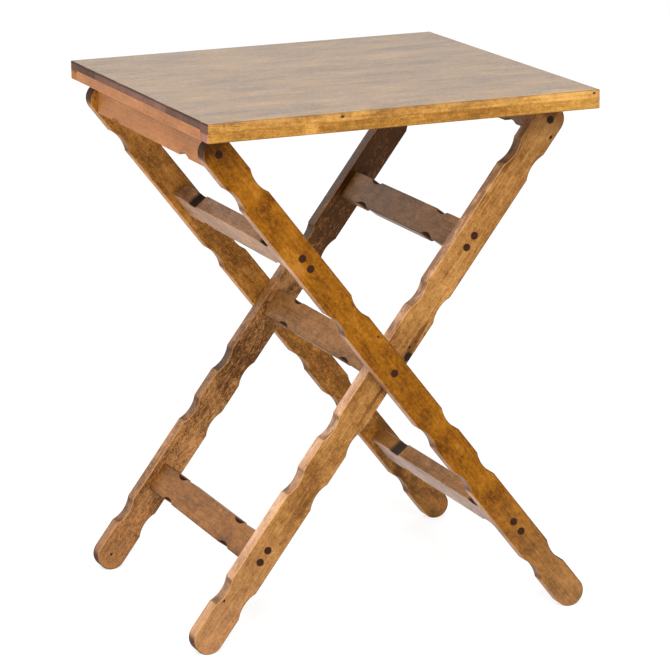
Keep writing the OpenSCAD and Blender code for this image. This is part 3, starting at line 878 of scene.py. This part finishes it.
under = [SLAB_EASE, SLAB_EASE, GLUE_EASE, SLAB_EASE]
flat_board("front_strip", FRONT_STAIN, 31, RIGHT, [GLUE_EASE] * 4, under, [SLAB_CORNER, 0, 0, SLAB_CORNER],
           patches=FRONT_STRIP_PATCHES, joints=FRONT_STRIP_JOINTS)
under = [GLUE_EASE, SLAB_EASE, SLAB_EASE, SLAB_EASE]
flat_board("rear_strip", REAR_STRIP_STAIN, 32, RIGHT, [GLUE_EASE] * 4, under,
           [0, SLAB_CORNER, SLAB_CORNER, 0])
under = [GLUE_EASE, GLUE_EASE, SLAB_EASE, GLUE_EASE]
flat_board("left_strip", SIDE_STAIN, 33, BACK, [GLUE_EASE] * 4, under)
under = [SLAB_EASE, GLUE_EASE, GLUE_EASE, GLUE_EASE]
flat_board("right_strip", SIDE_STAIN, 34, BACK, [GLUE_EASE] * 4, under)

# ---- Plugs and hardware ----
PLUG_DARK = dark_plug("plug_stain")


def plugs(node, up, heights, sides, seed):
    """The plugs of one CAD node: for each side of the table listed, one piece with a plug at each
    height up the leg. The first piece stands for the node."""
    low, high = corners(node)
    for place, side in enumerate(sides):
        face, inwards = (low[1], BACK) if side == "front" else (high[1], -BACK)
        middles = PIVOTS["scissor_fold"] + np.outer(heights, up)
        middles[:, 1] = face
        piece = domed_plug("plugs_" + node + ("", "_back")[place], middles, inwards, seed)
        if place == 0:
            join(piece, node, PLUG_DARK)
        else:
            piece.data.materials.append(PLUG_DARK)
            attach(piece, BODY_OF[node])


outer_rails, inner_rails = plug_heights("outer", OUTER_UP), plug_heights("inner", INNER_UP)
plugs("outer_rail_plugs_front", OUTER_UP, outer_rails, ["front"], 41)
plugs("outer_rail_plugs_rear", OUTER_UP, outer_rails, ["rear"], 42)
plugs("scissor_plugs", OUTER_UP, [0], ["front", "rear"], 43)
plugs("batten_pivot_plugs", OUTER_UP, [LEG_UP], ["front", "rear"], 44)
plugs("inner_rail_plugs_front", INNER_UP, inner_rails, ["front"], 45)
plugs("inner_rail_plugs_rear", INNER_UP, inner_rails, ["rear"], 46)
plugs("bar_pivot_plugs", INNER_UP, [LEG_UP], ["front", "rear"], 47)

CLEAT_WOOD = stained_wood("cleat_stain", CLEAT_STAIN, layers=plain_layers)
HARDWARE = {
    "screw_steel": plated_steel("screw_zinc", (0.62, 0.62, 0.60), 3 * MM),
    "washer_steel": plated_steel("washer_zinc", (0.66, 0.66, 0.64), 0.3 * MM),
    "dowel_wood": bare_wood("dowel_bare"),
}
for node, piece in frame["nodes"].items():
    finish = CLEAT_WOOD if node.endswith("_cleat") else HARDWARE.get(SLOTS[node])
    if finish:
        piece.data.materials.clear()
        piece.data.materials.append(finish)

# ---- Camera, light and floor ----
AIM = Vector((-25.7, -75.5, 351.5)) * MM
AZIMUTH, ELEVATION, ROLL = (math.radians(angle) for angle in (-22.672, 14.376, -0.78))
FAR = 4.0169
LENS = 175.56
FLOOR_HALF = 12.0
EVEN_GLOW = 0.12        # how brightly the surround shines everywhere
REAR_GLOW = 1.4         # how much more it shines behind the table, at its left and above it
LEFT_GLOW = 1.2
UPPER_GLOW = 0.35


def place_camera():
    """Looks at AIM from FAR away, turned AZIMUTH round the table and ELEVATION above it."""
    level = math.cos(ELEVATION)
    back = Vector((math.sin(AZIMUTH) * level, -math.cos(AZIMUTH) * level, math.sin(ELEVATION)))
    camera = bpy.data.objects.new("camera", bpy.data.cameras.new("camera"))
    camera.data.lens = LENS
    camera.data.sensor_width = 36
    camera.data.clip_end = 50
    camera.rotation_mode = "QUATERNION"
    camera.location = AIM + back * FAR
    camera.rotation_quaternion = (-back).to_track_quat("-Z", "Y") @ Quaternion((0, 0, 1), ROLL)
    bpy.context.scene.collection.objects.link(camera)
    bpy.context.scene.camera = camera


def softbox(name, place, aim, size, power, colour):
    """A square light of that size, pointed at aim."""
    light = bpy.data.lights.new(name, "AREA")
    light.shape = "SQUARE"
    light.size = size
    light.energy = power
    light.color = colour
    lamp = bpy.data.objects.new(name, light)
    lamp.location = place
    lamp.rotation_mode = "QUATERNION"
    lamp.rotation_quaternion = (Vector(aim) - Vector(place)).to_track_quat("-Z", "Y")
    bpy.context.scene.collection.objects.link(lamp)


def pale_floor():
    """A plain white floor that glows a little, so that shadows on it stay faint."""
    corner = [(x * FLOOR_HALF, y * FLOOR_HALF, 0) for x, y in ((-1, -1), (1, -1), (1, 1), (-1, 1))]
    mesh = bpy.data.meshes.new("floor")
    mesh.from_pydata(corner, [], [(0, 1, 2, 3)])
    floor = bpy.data.objects.new("floor", mesh)
    bpy.context.scene.collection.objects.link(floor)
    material, tree = new_material("floor_white")
    shader = tree.add("BsdfPrincipled", {
        "Base Color": (0.35, 0.35, 0.35, 1),
        "Roughness": 1.0,
        "Specular IOR Level": 0.0,
        "Emission Color": (1, 1, 1, 1),
        "Emission Strength": 0.72,
    })
    tree.add("OutputMaterial", {"Surface": shader})
    mesh.materials.append(material)


def studio_walls():
    """A white surround. It lights the table most from its left and from behind, and little from
    the front, so that only glancing faces take a sheen."""
    world = bpy.data.worlds.new("studio")
    world.use_nodes = True
    world.node_tree.nodes.clear()
    tree = Wire(world.node_tree)
    way = tree.add("TexCoord", {}, output="Generated")
    x, y, z = (tree.add("SeparateXYZ", {"Vector": way}, output=axis) for axis in "XYZ")
    glow = EVEN_GLOW + REAR_GLOW * ramped(tree, y, 0.1, 0.9)
    glow = glow + LEFT_GLOW * ramped(tree, 0 - x, 0.3, 0.95) + UPPER_GLOW * ramped(tree, z, 0.3, 1.0)
    seen = tree.add("LightPath", {}, output="Is Camera Ray")
    strength = tree.add("Mix", {0: seen, 2: glow, 3: 1.0}, data_type="FLOAT")
    back = tree.add("Background", {"Color": (1, 1, 1, 1), "Strength": strength})
    tree.add("OutputWorld", {"Surface": back})
    bpy.context.scene.world = world


place_camera()
pale_floor()
studio_walls()
softbox("key", (-0.9, -2.6, 2.6), (0, 0, 0.35), 1.9, 150, (1, 0.97, 0.93))
softbox("fill", (2.4, -1.8, 0.9), (0, 0, 0.3), 1.6, 10, (1, 0.98, 0.96))
bpy.context.scene.view_settings.view_transform = "Standard"
